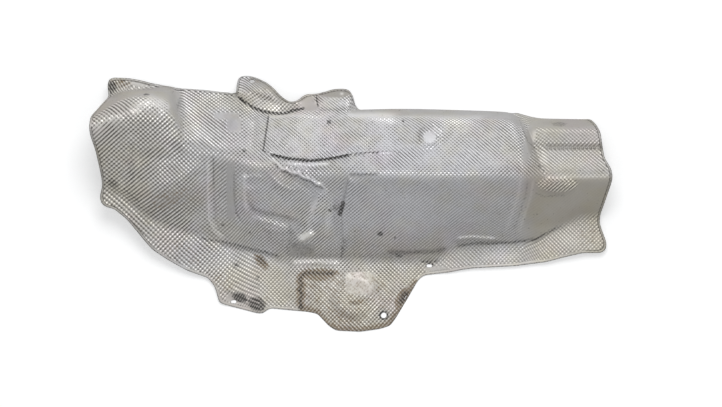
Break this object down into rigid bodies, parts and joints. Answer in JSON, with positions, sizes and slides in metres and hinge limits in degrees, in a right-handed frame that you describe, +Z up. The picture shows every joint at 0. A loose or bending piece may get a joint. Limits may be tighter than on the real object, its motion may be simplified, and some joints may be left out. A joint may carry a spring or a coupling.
{
  "type": "heat shield",
  "caption": "Pressed sheet-metal heat shield for a car exhaust: a bent channel of embossed sheet with a flange, fixing tabs and lugs.",
  "frame": {"origin": "bottom centre of the shield's box, on the surface that it lies on", "axes": "+X along the channel to its low end, +Y across it to the side with the lugs, +Z up"},
  "size_m": [0.654, 0.321, 0.0893],
  "materials": {
    "sheet": "embossed, dulled by heat, stained and scuffed"
  },
  "bodies": {
    "root": {"heat_shield": "sheet"}
  },
  "joints": []
}
